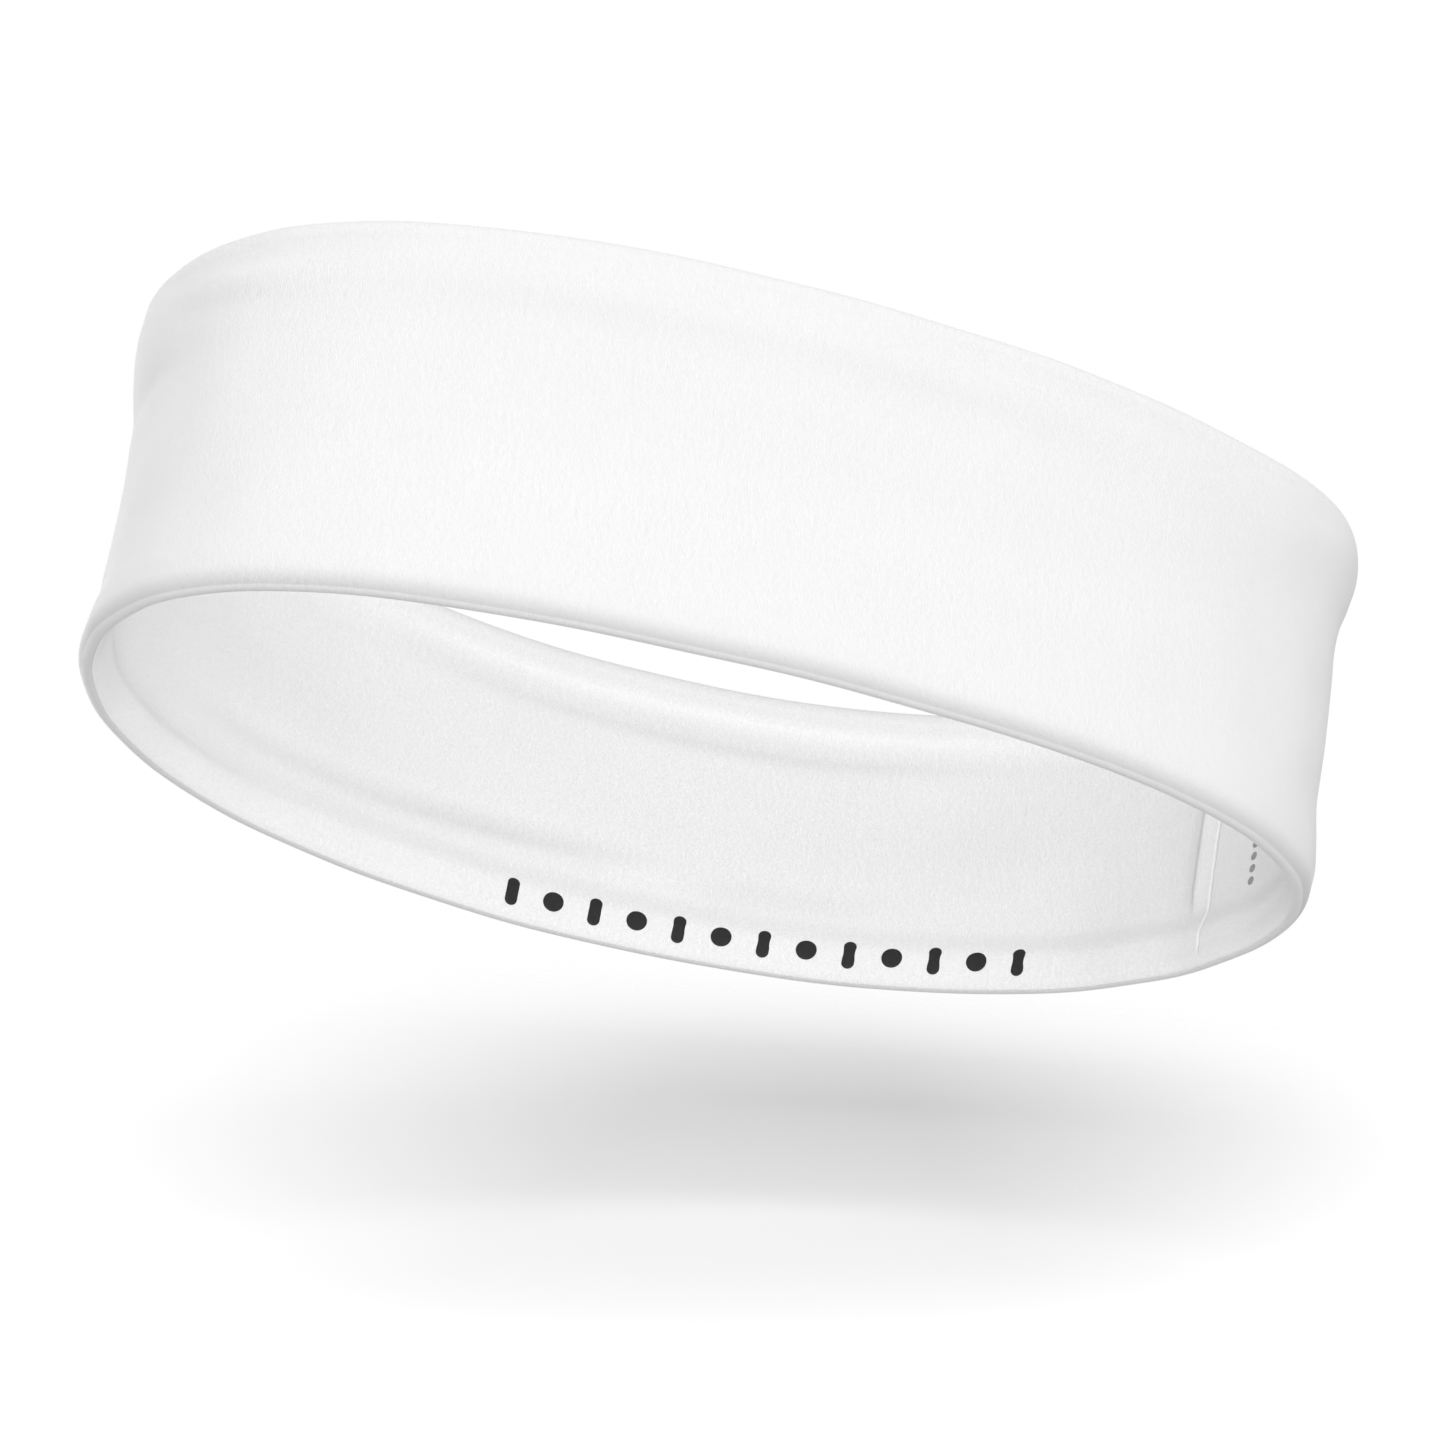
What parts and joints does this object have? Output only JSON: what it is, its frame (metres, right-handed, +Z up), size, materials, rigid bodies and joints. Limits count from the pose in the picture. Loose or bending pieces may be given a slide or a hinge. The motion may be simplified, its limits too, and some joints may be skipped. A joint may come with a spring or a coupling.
{
  "type": "sports headband",
  "caption": "White stretch-knit sports headband: a tapered double-layer ring with soft rolled rims, standing on its lower rim as an open oval.",
  "frame": {"origin": "bottom centre of the bounding box, on the surface the lower rim stands on, at the middle of the head opening", "axes": "+X along the long way of the oval, -Y to the tall forehead side and +Y to the low nape side, +Z up from the lower rim to the upper rim"},
  "size_m": [0.2033, 0.1172, 0.0665],
  "materials": {
    "knit": "matt stretch jersey with fine wales across the band and a soft sheen",
    "thread": "spun polyester sewing thread, matt",
    "print": "flat black heat-transfer film, satin",
    "lot_print": "thin grey heat-transfer film, satin"
  },
  "bodies": {
    "root": {"inner_closing_overlock": "thread", "inner_ring": "knit", "lot_dot_1": "lot_print", "lot_dot_2": "lot_print", "lot_dot_3": "lot_print", "lot_dot_4": "lot_print", "lower_edge_overlock": "thread", "outer_closing_overlock": "thread", "outer_ring": "knit", "print_mark_1": "print", "print_mark_10": "print", "print_mark_11": "print", "print_mark_12": "print", "print_mark_13": "print", "print_mark_2": "print", "print_mark_3": "print", "print_mark_4": "print", "print_mark_5": "print", "print_mark_6": "print", "print_mark_7": "print", "print_mark_8": "print", "print_mark_9": "print", "upper_edge_overlock": "thread"}
  },
  "joints": []
}
